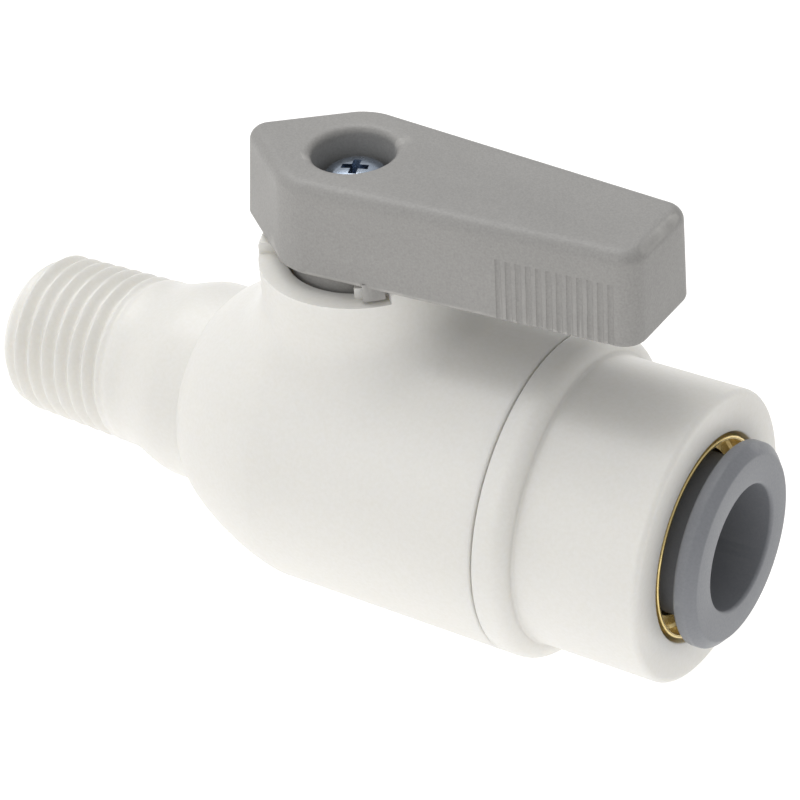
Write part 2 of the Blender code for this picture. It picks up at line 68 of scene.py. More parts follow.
MM = 0.001
STEPS = 96
GAP = 0.3
SEED = 0.1
WELD = 0.002
SLIVER = 0.0005
FINE = 1e-7
SHARP_ANGLE = 32.0
Point = tuple[float, float]
Test = Callable[[Vector], bool]
PairTest = Callable[[Vector, Vector], bool]
STEM_X = next(j["pos_m"][0] for j in frame["joints"] if j["name"] == "lever_turn") / MM


class Axis(Enum):
    """Axis that a piece is turned about: the flow axis, or the stem's own axis."""

    FLOW = "flow"
    STEM = "stem"


class Body(Enum):
    """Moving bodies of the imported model."""

    CASE = "valve_case"
    LEVER = "turning_lever"
    BALL = "turning_ball"
    COLLET = "push_collet"


# ------------------------------------------------------------------------------- shader arithmetic


class Signal:
    """A shader value that takes part in Python arithmetic, each step adding its Math node."""

    def __init__(self, shader: "Shader", socket: Any) -> None:
        """Wrap an output socket of a node of shader."""
        self.shader = shader
        self.socket = socket

    def maths(self, operation: str, *values: Any, clamp: bool = False) -> "Signal":
        """Add one Math node.

        Args:
            operation: Blender's name of the Math operation.
            values: numbers or signals, in the order of the node's sockets.
            clamp: keep the result from 0 to 1.

        Returns:
            The node's result.
        """
        settings = {"operation": operation, "use_clamp": clamp}
        return self.shader.add("ShaderNodeMath", settings, dict(enumerate(values)))[0]

    def __add__(self, other: Any) -> "Signal":
        """self + other."""
        return self.maths("ADD", self, other)

    def __radd__(self, other: Any) -> "Signal":
        """other + self."""
        return self.maths("ADD", other, self)

    def __sub__(self, other: Any) -> "Signal":
        """self - other."""
        return self.maths("SUBTRACT", self, other)

    def __rsub__(self, other: Any) -> "Signal":
        """other - self."""
        return self.maths("SUBTRACT", other, self)

    def __mul__(self, other: Any) -> "Signal":
        """self * other."""
        return self.maths("MULTIPLY", self, other)

    def __rmul__(self, other: Any) -> "Signal":
        """other * self."""
        return self.maths("MULTIPLY", other, self)

    def band(self, low: float, high: float) -> "Signal":
        """Stretch the range from low to high over 0 to 1, clamped."""
        return self.maths("MULTIPLY", self - low, 1 / (high - low), clamp=True)


class Shader:
    """A new material's node tree, with the Principled shader that every finish ends in."""

    OBJECT_PLACE = 3
    POINTINESS = 7
    MIX_SHARE = 0
    MIX_FIRST = 6
    MIX_SECOND = 7
    MIX_COLOUR = 2

    def __init__(self, name: str) -> None:
        """Start a material of that name with a bare Principled shader."""
        self.material = bpy.data.materials.new(name)
        self.material.use_nodes = True
        self.tree = self.material.node_tree
        self.principled = self.tree.nodes["Principled BSDF"]

    def add(self, kind: str, settings: dict[str, Any], inputs: dict[Any, Any]) -> list[Signal]:
        """Add a node.

        Args:
            kind: the node's type.
            settings: its properties, set first.
            inputs: numbers, vectors or signals by socket name or index.

        Returns:
            The node's outputs in order.
        """
        node = self.tree.nodes.new(kind)
        for key, value in settings.items():
            setattr(node, key, value)
        for key, value in inputs.items():
            self.feed(node.inputs[key], value)
        return [Signal(self, socket) for socket in node.outputs]

    def feed(self, socket: Any, value: Any) -> None:
        """Link a signal to a socket, or set the socket's own value."""
        if isinstance(value, Signal):
            self.tree.links.new(value.socket, socket)
        elif isinstance(value, tuple) and len(value) == 3 and socket.type == "RGBA":
            socket.default_value = (*value, 1.0)
        else:
            socket.default_value = value

    def place(self) -> Signal:
        """The piece's own Object coordinates."""
        return self.add("ShaderNodeTexCoord", {}, {})[self.OBJECT_PLACE]

    def stretched(self, scale: tuple[float, float, float]) -> Signal:
        """Object coordinates scaled apart along each axis."""
        return self.add("ShaderNodeMapping", {}, {"Vector": self.place(), "Scale": scale})[0]

    def noise(self, size: float, detail: float, where: Signal | None = None) -> Signal:
        """Noise whose blots are about size millimetres across, from 0 to 1."""
        inputs = {"Vector": where or self.place(), "Scale": 1 / (size * MM), "Detail": detail}
        return self.add("ShaderNodeTexNoise", {}, inputs)[0]

    def cells(self, size: float) -> Signal:
        """Distance to the nearest of scattered points about size millimetres apart."""
        inputs = {"Vector": self.place(), "Scale": 1 / (size * MM)}
        return self.add("ShaderNodeTexVoronoi", {}, inputs)[0]

    def edges(self, low: float, high: float) -> Signal:
        """1 on outside edges and 0 on flat ground, between two levels of pointiness."""
        return self.add("ShaderNodeNewGeometry", {}, {})[self.POINTINESS].band(low, high)

    def blend(self, share: Any, first: Any, second: Any) -> Signal:
        """Mix two colours by a share of the second."""
        inputs = {self.MIX_SHARE: share, self.MIX_FIRST: first, self.MIX_SECOND: second}
        return self.add("ShaderNodeMix", {"data_type": "RGBA"}, inputs)[self.MIX_COLOUR]

    def relief(self, height: Signal, depth: float, under: Signal | None = None) -> Signal:
        """Bump the surface by a height signal times depth millimetres."""
        inputs = {"Height": height, "Distance": depth * MM, "Strength": 1.0}
        if under:
            inputs["Normal"] = under
        return self.add("ShaderNodeBump", {}, inputs)[0]

    def dress(self, **inputs: Any) -> bpy.types.Material:
        """Feed the Principled shader by socket names with _ for spaces, and return the material."""
        for key, value in inputs.items():
            self.feed(self.principled.inputs[key.replace("_", " ")], value)
        return self.material


# --------------------------------------------------------------------------------------- finishes


@dataclass(frozen=True)
class Moulding:
    """Injection-moulded plastic with flow mottling, a fine grain, dust, and edges painted lighter as rubbed wear
    and as a painted highlight.
    """

    name: str
    colour: tuple[float, float, float]
    shade: tuple[float, float, float]
    # Colour that edges are painted towards: partly rubbed wear, partly a painted highlight.
    rubbed_and_highlit: tuple[float, float, float]
    roughness: float
    grain: float
    grain_depth: float
    speckle: float
    # Share of the painted edge lightening, which is partly wear and partly a painted highlight.
    wear_and_highlight: float
    translucence: float = 0.0

    def material(self) -> bpy.types.Material:
        """Build the finish's node tree.

        Returns:
            The new material.
        """
        shader = Shader(self.name)
        flow = shader.noise(9.0, 4.0, shader.stretched((0.5, 1.0, 1.0)))
        clouds = flow.band(0.35, 0.7)
        grain = shader.noise(self.grain, 2.0)
        dots = 1 - shader.cells(self.grain * 3).band(0.1, 0.35)
        mottled = shader.blend(clouds * 0.4 + grain.band(0.3, 0.7) * 0.6, self.colour, self.shade)
        speckled = shader.blend(dots * self.speckle, mottled, self.shade)
        # Edges found by pointiness are painted lighter: partly rubbed wear, partly a painted highlight of the
        # glints along them.
        rubs = shader.noise(1.6, 5.0).band(0.42, 0.62)
        worn_and_highlit = shader.edges(0.53, 0.62) * (rubs * 0.6 + 0.4) * self.wear_and_highlight
        orange_peel = shader.relief(shader.noise(1.8, 2.0), self.grain_depth * 1.5)
        shader.principled.subsurface_method = "RANDOM_WALK"
        return shader.dress(
            Base_Color=shader.blend(worn_and_highlit, speckled, self.rubbed_and_highlit),
            Roughness=self.roughness + (grain - 0.5) * 0.14 + (flow - 0.5) * 0.12 - worn_and_highlit * 0.08,
            Normal=shader.relief(grain, self.grain_depth, orange_peel),
            Subsurface_Weight=self.translucence,
            Subsurface_Radius=(1.0, 0.9, 0.7),
            Subsurface_Scale=2.0 * MM,
            IOR=1.5,
        )


@dataclass(frozen=True)
class Metal:
    """Plated or drawn metal with brushed streaks, clouded gloss, and edges painted brighter as rubbed wear and as
    a painted highlight.
    """

    name: str
    colour: tuple[float, float, float]
    tarnish: tuple[float, float, float]
    roughness: float
    streak: tuple[float, float, float] = (1.0, 1.0, 12.0)

    def material(self) -> bpy.types.Material:
        """Build the finish's node tree.

        Returns:
            The new material.
        """
        shader = Shader(self.name)
        brushed = shader.noise(0.9, 4.0, shader.stretched(self.streak))
        clouds = shader.noise(1.4, 3.0).band(0.4, 0.7)
        # Edges found by pointiness are painted brighter: partly rubbed wear, partly a painted highlight.
        rubbed_and_highlit = shader.edges(0.52, 0.62)
        stained = shader.blend(clouds * 0.55, self.colour, self.tarnish)
        return shader.dress(
            Base_Color=shader.blend(rubbed_and_highlit * 0.6, stained, self.colour),
            Roughness=self.roughness + (brushed - 0.5) * 0.2 + clouds * 0.1 - rubbed_and_highlit * 0.08,
            Normal=shader.relief(brushed, 0.004),
            Metallic=1.0,
        )


@dataclass(frozen=True)
class Rubber:
    """Moulded seal rubber, with a dusty bloom, a fine matt grain and edges painted lighter as rubbed wear and as a
    painted highlight.
    """

    name: str
    colour: tuple[float, float, float]
    bloom: tuple[float, float, float]
    roughness: float = 0.55

    def material(self) -> bpy.types.Material:
        """Build the finish's node tree.

        Returns:
            The new material.
        """
        shader = Shader(self.name)
        dust = shader.noise(1.2, 5.0).band(0.45, 0.75)
        grain = shader.noise(0.12, 2.0)
        # Edges found by pointiness are painted lighter: partly rubbed wear, partly a painted highlight.
        rubbed_and_highlit = shader.edges(0.5, 0.6)
        return shader.dress(
            Base_Color=shader.blend(dust * 0.5 + rubbed_and_highlit * 0.2, self.colour, self.bloom),
            Roughness=self.roughness + dust * 0.2 + (grain - 0.5) * 0.1,
            Normal=shader.relief(grain, 0.004),
        )


class Finishes:
    """The valve's finishes by the record's slot names, each made once."""

    def __init__(self) -> None:
        """Make every material."""
        # Each moulding gives its colour, its mottling tone, then the lighter edge colour, which stands partly for
        # rubbed wear and partly for a painted highlight.
        made = {
            "white_moulding": Moulding(
                "warm_white_moulding", (0.825, 0.815, 0.785), (0.785, 0.77, 0.725), (0.87, 0.86, 0.83),
                roughness=0.4, grain=0.3, grain_depth=0.003, speckle=0.05, wear_and_highlight=0.4, translucence=0.25,
            ),
            "lever_plastic": Moulding(
                "warm_grey_grained_moulding", (0.345, 0.337, 0.325), (0.27, 0.264, 0.255),
                (0.47, 0.46, 0.44), roughness=0.5, grain=0.16, grain_depth=0.02, speckle=0.4, wear_and_highlight=0.7,
            ),
            "collet_plastic": Moulding(
                "cool_grey_satin_moulding", (0.235, 0.243, 0.262), (0.2, 0.207, 0.226),
                (0.33, 0.335, 0.35), roughness=0.42, grain=0.2, grain_depth=0.006, speckle=0.15, wear_and_highlight=0.6,
            ),
            "dark_grey_plastic": Moulding(
                "dark_grey_stem_moulding", (0.12, 0.115, 0.115), (0.095, 0.09, 0.09),
                (0.2, 0.195, 0.19), roughness=0.45, grain=0.2, grain_depth=0.006, speckle=0.15, wear_and_highlight=0.5,
            ),
            "ball_plastic": Moulding(
                "polished_white_ball", (0.76, 0.77, 0.78), (0.71, 0.72, 0.73), (0.82, 0.82, 0.82),
                roughness=0.22, grain=0.4, grain_depth=0.001, speckle=0.04, wear_and_highlight=0.3,
            ),
            "natural_plastic": Moulding(
                "waxy_natural_plastic", (0.8, 0.79, 0.75), (0.74, 0.73, 0.69), (0.86, 0.86, 0.84),
                roughness=0.45, grain=0.3, grain_depth=0.004, speckle=0.05, wear_and_highlight=0.3, translucence=0.2,
            ),
            "black_rubber": Rubber("black_seal_rubber", (0.018, 0.018, 0.019), (0.05, 0.05, 0.052)),
            "zinc_plate": Metal(
                "bright_zinc_plate", (0.5, 0.57, 0.67), (0.2, 0.27, 0.38), roughness=0.2
            ),
            "spring_steel": Metal(
                "drawn_spring_steel", (0.6, 0.6, 0.58), (0.42, 0.41, 0.4), roughness=0.3,
                streak=(12.0, 1.0, 1.0),
            ),
            "brass_liner": Metal(
                "drawn_brass", (0.83, 0.66, 0.3), (0.55, 0.4, 0.16), roughness=0.24,
                streak=(12.0, 1.0, 1.0),
            ),
        }
        self.by_slot = {slot: finish.material() for slot, finish in made.items()}

    def dress(self, piece: bpy.types.Object, slot: str) -> None:
        """Give a piece or a CAD node the finish of one slot, in place of any it has."""
        if not piece.material_slots:
            piece.data.materials.append(None)
        for holder in piece.material_slots:
            holder.material = self.by_slot[slot]


# ---------------------------------------------------------------------------------- modelling tools


def curve(centre: Point, radius: float, start: float, end: float, steps: int = 6) -> list[Point]:
    """Points of an arc, angles in degrees from the first coordinate's direction."""
    angles = [math.radians(start + (end - start) * i / steps) for i in range(steps + 1)]
    return [(centre[0] + radius * math.cos(a), centre[1] + radius * math.sin(a)) for a in angles]


def smooth_step(share: float) -> float:
    """Ease from 0 to 1 with flat ends."""
    share = min(1.0, max(0.0, share))
    return share * share * (3 - 2 * share)


class Work:
    """A mesh on the bench, shaped by Blender's own modelling operators, in millimetres."""

    def __init__(self, name: str) -> None:
        """Take the object that was just added and put its place into its mesh."""
        self.item = bpy.context.active_object
        self.item.name = name
        self.item.data.name = name
        bpy.ops.object.transform_apply(location=True, rotation=True, scale=True)

    @staticmethod
    def clear() -> None:
        """Leave edit mode and deselect everything, the CAD nodes among it."""
        if bpy.context.mode != "OBJECT":
            bpy.ops.object.mode_set(mode="OBJECT")
        bpy.ops.object.select_all(action="DESELECT")

    @classmethod
    def block(cls, name: str, low: Sequence[float], high: Sequence[float]) -> "Work":
        """Add a block between two corners."""
        cls.clear()
        middle = [(a + b) / 2 * MM for a, b in zip(low, high)]
        size = [(b - a) * MM for a, b in zip(low, high)]
        bpy.ops.mesh.primitive_cube_add(size=1.0, location=middle, scale=size)
        return cls(name)

    @classmethod
    def rod(cls, name: str, radius: float, low: Sequence[float], height: float, sides: int) -> "Work":
        """Add an upright rod that stands on the point low."""
        cls.clear()
        middle = [low[0] * MM, low[1] * MM, (low[2] + height / 2) * MM]
        bpy.ops.mesh.primitive_cylinder_add(
            vertices=sides, radius=radius * MM, depth=height * MM, location=middle
        )
        return cls(name)

    @classmethod
    def turned(
        cls, name: str, line: Sequence[Point], axis: Axis = Axis.FLOW, steps: int = STEPS
    ) -> "Work":
        """Draw a line of points by extruding one vertex, and spin it into a closed solid.

        Args:
            name: the piece's name.
            line: (station, radius) points; a line that doesn't end on the axis is closed.
            axis: the axis that stations lie along.
            steps: sides of a full turn.

        Returns:
            The solid, with its faces pointing outwards.
        """
        cls.clear()
        points = list(line)
        if points[0][1] > 0 or points[-1][1] > 0:
            points.append(points[0])
        tilt = math.pi / steps if axis is Axis.STEM else 0.0
        spots = []
        for station, radius in points:
            if axis is Axis.FLOW:
                spots.append(Vector((station, 0, radius)) * MM)
            else:
                out = (STEM_X + radius * math.cos(tilt), radius * math.sin(tilt), station)
                spots.append(Vector(out) * MM)
        bpy.ops.mesh.primitive_plane_add(size=SEED * MM, location=spots[0])
        work = cls(name)
        bpy.ops.object.mode_set(mode="EDIT")
        bpy.ops.mesh.select_mode(type="VERT")
        bpy.ops.mesh.select_all(action="SELECT")
        bpy.ops.mesh.merge(type="CENTER")
        for before, after in zip(spots, spots[1:]):
            bpy.ops.mesh.extrude_vertices_move(TRANSFORM_OT_translate={"value": after - before})
        bpy.ops.mesh.select_all(action="SELECT")
        centre = (0, 0, 0) if axis is Axis.FLOW else (STEM_X * MM, 0, 0)
        way = (1, 0, 0) if axis is Axis.FLOW else (0, 0, 1)
        bpy.ops.mesh.spin(steps=steps, angle=2 * math.pi, center=centre, axis=way)
        bpy.ops.mesh.select_all(action="SELECT")
        bpy.ops.mesh.remove_doubles(threshold=WELD * MM)
        bpy.ops.mesh.normals_make_consistent(inside=False)
        bpy.ops.object.mode_set(mode="OBJECT")
        return work

    def activate(self) -> None:
        """Make this the only selected object."""
        self.clear()
        bpy.context.view_layer.objects.active = self.item
        self.item.select_set(True)

    def shape(self, move: Callable[[Vector], Vector]) -> "Work":
        """Move every vertex by a rule on its place in millimetres."""
        for vertex in self.item.data.vertices:
            vertex.co = move(vertex.co / MM) * MM
        return self

    def pick(
        self, corners: Test | None = None, edges: PairTest | None = None, faces: PairTest | None = None
    ) -> None:
        """Enter edit mode with some elements selected, and nothing else.

        Args:
            corners: test of a vertex's place.
            edges: test of an edge's two ends.
            faces: test of a face's centre and normal.
        """
        self.activate()
        bpy.ops.object.mode_set(mode="EDIT")
        kind = "VERT" if corners else "EDGE" if edges else "FACE"
        bpy.ops.mesh.select_mode(type=kind)
        bpy.ops.mesh.select_all(action="DESELECT")
        work = bmesh.from_edit_mesh(self.item.data)
        if corners:
            for vertex in work.verts:
                vertex.select_set(corners(vertex.co / MM))
        if edges:
            for edge in work.edges:
                first, second = (vertex.co / MM for vertex in edge.verts)
                if edges(first, second):
                    edge.select_set(True)
        if faces:
            for face in work.faces:
                if faces(face.calc_center_median() / MM, face.normal):
                    face.select_set(True)
        work.select_flush_mode()
        bmesh.update_edit_mesh(self.item.data)

    def leave(self) -> "Work":
        """Go back to object mode."""
        bpy.ops.object.mode_set(mode="OBJECT")
        return self

    def narrow(self, corners: Test, factor: Sequence[float], centre: Sequence[float]) -> "Work":
        """Scale the corners that pass a test about a point."""
        self.pick(corners=corners)
        middle = [value * MM for value in centre]
        bpy.ops.transform.resize(value=factor, center_override=middle)
        return self.leave()

    def slice_at(self, station: float, way: Sequence[float] = (1, 0, 0)) -> "Work":
        """Add a ring of edges where a plane at a station along way crosses the mesh."""
        self.pick(corners=lambda place: True)
        bpy.ops.mesh.bisect(plane_co=Vector(way) * station * MM, plane_no=way, threshold=FINE)
        return self.leave()

    def wedge(self, start: float, end: float | None = None) -> "Work":
        """Keep the sector about the stem's axis that lies between two upright planes.

        Args:
            start: the first plane's direction from X, in degrees.
            end: the second plane's direction, less than a half turn on, or nothing for one plane.

        Returns:
            This mesh, closed where it was cut.
        """
        for side, angle in zip((-1, 1), (start, end)):
            if angle is None:
                continue
            edge = math.radians(angle)
            normal = Vector((-math.sin(edge), math.cos(edge), 0)) * side
            self.pick(corners=lambda place: True)
            bpy.ops.mesh.bisect(
                plane_co=(STEM_X * MM, 0, 0), plane_no=normal, use_fill=True, clear_outer=True,
                threshold=FINE,
            )
            self.leave()
        return self

    def round_edges(self, edges: PairTest, width: float, segments: int) -> "Work":
        """Round the edges that pass a test on their two ends."""
        self.pick(edges=edges)
        bpy.ops.mesh.bevel(
            offset_type="OFFSET", offset=width * MM, segments=segments, profile=0.5,
            affect="EDGES", clamp_overlap=False,
        )
        return self.leave()

    def round_over(self, side: int, radius: float, steps: int) -> "Work":
        """Raise the top, or with side -1 the bottom, in insets that follow a quarter circle."""
        self.pick(faces=lambda centre, normal: normal.z * side > 0.9)
        for i in range(steps):
            start, end = math.pi / 2 * i / steps, math.pi / 2 * (i + 1) / steps
            bpy.ops.mesh.inset(
                thickness=radius * (math.cos(start) - math.cos(end)) * MM,
                depth=radius * (math.sin(end) - math.sin(start)) * MM, use_even_offset=True,
            )
        return self.leave()

    def turn(self, angle: float, way: str, centre: Sequence[float]) -> "Work":
        """Turn the whole mesh by degrees about X, Y or Z through a point."""
        middle = Vector(centre) * MM
        turn = Matrix.Rotation(math.radians(angle), 4, way)
        self.item.data.transform(Matrix.Translation(middle) @ turn @ Matrix.Translation(-middle))
        return self

    def gather(self, others: Iterable["Work"]) -> "Work":
        """Take other, separate meshes into this one."""
        self.activate()
        for other in others:
            other.item.select_set(True)
        bpy.ops.object.join()
        return self

    def combine(self, tool: "Work", operation: str) -> "Work":
        """Apply a Boolean with a tool, and remove the tool."""
        step = self.item.modifiers.new("combine", "BOOLEAN")
        step.operation = operation
        step.solver = "MANIFOLD"
        step.object = tool.item
        self.activate()
        bpy.ops.object.modifier_apply(modifier=step.name)
        bpy.data.objects.remove(tool.item)
        return self

    def cut(self, tool: "Work") -> "Work":
        """Take a tool's shape away."""
        return self.combine(tool, "DIFFERENCE")

    def join(self, tool: "Work") -> "Work":
        """Add a tool's shape."""
        return self.combine(tool, "UNION")

    def done(self, finishes: Finishes, slot: str, body: Body, stands_for: str) -> None:
        """Smooth the piece, give it its finish and put it in the frame.

        Args:
            finishes: the valve's finishes.
            slot: the record's material slot.
            body: the CAD body that it moves with.
            stands_for: the CAD node that it replaces.
        """
        self.activate()
        bpy.ops.object.mode_set(mode="EDIT")
        bpy.ops.mesh.select_all(action="SELECT")
        bpy.ops.mesh.dissolve_degenerate(threshold=SLIVER * MM)
        bpy.ops.object.mode_set(mode="OBJECT")
        bpy.ops.object.shade_smooth_by_angle(angle=math.radians(SHARP_ANGLE))
        finishes.dress(self.item, slot)
        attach(self.item, body.value)
        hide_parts(stands_for)
        LOG.info("%s: %d faces on %s", self.item.name, len(self.item.data.polygons), body.value)


# -------------------------------------------------------------------------------------- valve case


@dataclass
class Chambers:
    """Inner sizes that the body and the end adapter share."""

    bore: float = 3.25
    ball: float = 8.0
    cavity: float = 8.7
    seat: float = 7.0
    seat_back: float = 9.3
    pocket: float = 5.7
    seal_ring: float = 5.6
    seal_section: float = 0.6
    spigot: float = 9.6

    def pocket_line(self, side: int) -> list[Point]:
        """Line of a seat pocket from the bore out to its mouth; side is -1 upstream, 1 downstream."""
        face = self.seat_back + GAP
        floor = face + 2 * self.seal_section + GAP
        low = self.seal_ring - self.seal_section - GAP
        high = self.seal_ring + self.seal_section + GAP
        outer = self.seat + GAP
        line = [(face, self.bore), (face, low), (floor, low), (floor, high), (face, high)]
        line += [(face, outer), (self.pocket, outer)]
        return [(STEM_X + side * station, radius) for station, radius in line]


@dataclass
class ValveBody:
    """White moulded body: pipe thread, flared stub, dome, barrel and the stem's boss."""

    chambers: Chambers
    thread_length: float = 11.6
    thread_pitch: float = 25.4 / 18
    thread_depth: float = 0.72
    thread_radius: float = 6.55
    thread_taper: float = 1 / 32
    tip_radius: float = 5.5
    tip_length: float = 1.5
    stub_end: float = 17.2
    stub_radius: float = 8.1
    dome_start: float = 19.6
    dome_end: float = 29.6
    dome_power: float = 1.35
    radius: float = 12.8
    end: float = 49.36
    boss_radius: float = 7.85
    boss_top: float = 17.7
    flare: float = 2.6
    flare_dip: float = -0.03
    recess_radius: float = 5.8
    recess_floor: float = 15.7
    collar_radius: float = 4.9
    shaft_radius: float = 3.6
    washer_top: float = 10.5
    ledge_top: float = 16.8
    ledge_radius: float = 6.5
    notch_angles: Point = (-152.0, -41.0)
    wall_start: float = -62.0
    edge: float = 0.2
    tip_rings: Point = (0.35, 0.1)
    thread_rings: int = 104
    thread_runout: float = 0.6
    thread_fade: float = 2.0
    thread_start: Point = (0.2, 1.6)
    groove_power: float = 0.8
    stub_steps: int = 16
    stub_rings: Point = (18.0, 18.8)
    dome_steps: int = 20
    barrel_rings: int = 24
    flare_steps: int = 12

    def crest(self, station: float) -> float:
        """Radius of the thread's crests, held back by the rounded tip."""
        straight = self.thread_radius + station * self.thread_taper
        rise = smooth_step(station / self.tip_length) ** 0.75
        return self.tip_radius + (straight - self.tip_radius) * rise

    def outline(self) -> list[Point]:
        """Outer line of the body from its end face, with the crests as a plain cone."""
        line = [(0.0, self.tip_radius - step) for step in self.tip_rings]
        for i in range(1, self.thread_rings + 1):
            station = (self.thread_length + self.thread_runout) * i / self.thread_rings
            line.append((station, self.crest(min(station, self.thread_length))))
        neck, start = line[-1]
        for i in range(1, self.stub_steps + 1):
            station = neck + (self.stub_end - neck) * i / self.stub_steps
            rise = smooth_step(i / self.stub_steps)
            line.append((station, start + (self.stub_radius - start) * rise))
        line += [(station, self.stub_radius) for station in self.stub_rings]
        for i in range(self.dome_steps + 1):
            turn = math.pi / 2 * i / self.dome_steps
            along = math.cos(turn) ** (2 / self.dome_power)
            up = math.sin(turn) ** (2 / self.dome_power)
            station = self.dome_end - (self.dome_end - self.dome_start) * along
            line.append((station, self.stub_radius + (self.radius - self.stub_radius) * up))
        rings = self.barrel_rings
        length = self.end - self.edge - self.dome_end
        line += [(self.dome_end + length * i / rings, self.radius) for i in range(1, rings)]
        line += curve((self.end - self.edge, self.radius - self.edge), self.edge, 90, 0, 3)
        return line

    def surface(self, place: Vector) -> float:
        """Height of the outer surface above the flow axis at a place seen from above."""
        line = self.outline()
        for (x0, r0), (x1, r1) in zip(line, line[1:]):
            if x0 <= place.x < x1:
                radius = r0 + (r1 - r0) * (place.x - x0) / (x1 - x0)
                return math.sqrt(max(0.0, radius**2 - place.y**2))
        return math.sqrt(self.radius**2 - place.y**2)

    def threaded(self, place: Vector) -> Vector:
        """Sink the thread's helical groove into the plain cone."""
        radius = math.hypot(place.y, place.z)
        if place.x > self.thread_length or radius < self.tip_radius - 0.05:
            return place
        turns = place.x / self.thread_pitch - math.atan2(place.z, place.y) / (2 * math.pi)
        groove = 0.5 - 0.5 * math.cos(2 * math.pi * turns)
        fade = 1 - smooth_step((place.x - self.thread_length + self.thread_fade) / self.thread_fade)
        start = smooth_step((place.x - self.thread_start[0]) / self.thread_start[1])
        sunk = radius - self.thread_depth * groove**self.groove_power * fade * start
        return Vector((place.x, place.y * sunk / radius, place.z * sunk / radius))

    def boss(self) -> Work:
        """Boss with a flare that settles onto the dome and the barrel all round."""
        top = curve((self.boss_top - self.edge, self.boss_radius - self.edge), self.edge, 90, 0, 3)
        reach = self.boss_radius + self.flare
        line = [(-4.0, 0.0), (-4.0, reach + 0.15), (self.flare_dip, reach + 0.15)]
        steps = self.flare_steps
        for i in range(steps + 1):
            turn = math.pi / 2 * (steps - i) / steps
            out = self.boss_radius + self.flare * (1 - math.cos(turn))
            line.append((self.flare * (1 - math.sin(turn)), out))
        line += [(self.boss_top - 1.2, self.boss_radius)] + top + [(self.boss_top, 0.0)]
        form = Work.turned("boss_form", line, Axis.STEM)

        def settle(place: Vector) -> Vector:
            """Lift the flare by the height of the body's surface under it."""
            if place.z > self.flare + 0.01:
                return place
            return Vector((place.x, place.y, place.z + self.surface(place)))

        return form.shape(settle)

    def flow_way(self) -> Work:
        """Cutter for the bore, the inlet seat's pocket, the ball's cavity and the barrel's bore."""
        inner = self.chambers
        barrel = inner.spigot + GAP
        step = STEM_X + inner.pocket - GAP
        line = [(-1.0, 0.0), (-1.0, inner.bore + 0.3), (0.0, inner.bore + 0.3), (0.3, inner.bore)]
        line += inner.pocket_line(-1)
        line += [(STEM_X - inner.pocket, inner.cavity), (step, inner.cavity), (step, barrel)]
        line += [(self.end - 0.4, barrel), (self.end, barrel + 0.3)]
        line += [(self.end + 1, barrel + 0.3), (self.end + 1, 0.0)]
        return Work.turned("flow_way_cutter", line)

    def stem_way(self) -> Work:
        """Cutter for the collar's room, the stem's bore and the recess in the boss's top."""
        collar = self.collar_radius + GAP
        shaft = self.shaft_radius + GAP
        roof = self.washer_top + GAP
        rim = self.recess_radius + 0.15
        line = [(5.0, 0.0), (5.0, collar), (roof, collar), (roof, shaft)]
        line += [(self.recess_floor, shaft), (self.recess_floor, self.recess_radius)]
        line += [(self.boss_top - 0.15, self.recess_radius), (self.boss_top, rim)]
        line += [(self.boss_top + 1, rim), (self.boss_top + 1, 0.0)]
        return Work.turned("stem_way_cutter", line, Axis.STEM)

    def notch(self) -> Work:
        """Cutter for the low sector of the boss's rim that the lever's tab sweeps over."""
        ledge = self.ledge_top
        low, high = self.recess_radius - 0.7, self.boss_radius + 1
        sweep = Work.turned(
            "notch_cutter", [(ledge, low), (ledge, high), (ledge + 2, high), (ledge + 2, low)], Axis.STEM
        )
        sweep.wedge(*self.notch_angles)
        low, high = self.recess_radius - 1, self.ledge_radius
        keep = Work.turned(
            "kept_wall", [(ledge - 1, low), (ledge - 1, high), (ledge + 3, high), (ledge + 3, low)],
            Axis.STEM,
        )
        keep.wedge(self.wall_start)
        return sweep.cut(keep)

    def build(self, finishes: Finishes) -> None:
        """Make the body and dress it."""
        line = [(0.0, 0.0)] + self.outline() + [(self.end, 0.0)]
        body = Work.turned("threaded_valve_body", line).shape(self.threaded)
        body.join(self.boss())
        body.cut(self.flow_way())
        body.cut(self.stem_way())
        body.cut(self.notch())
        body.done(finishes, "white_moulding", Body.CASE, "valve_body")


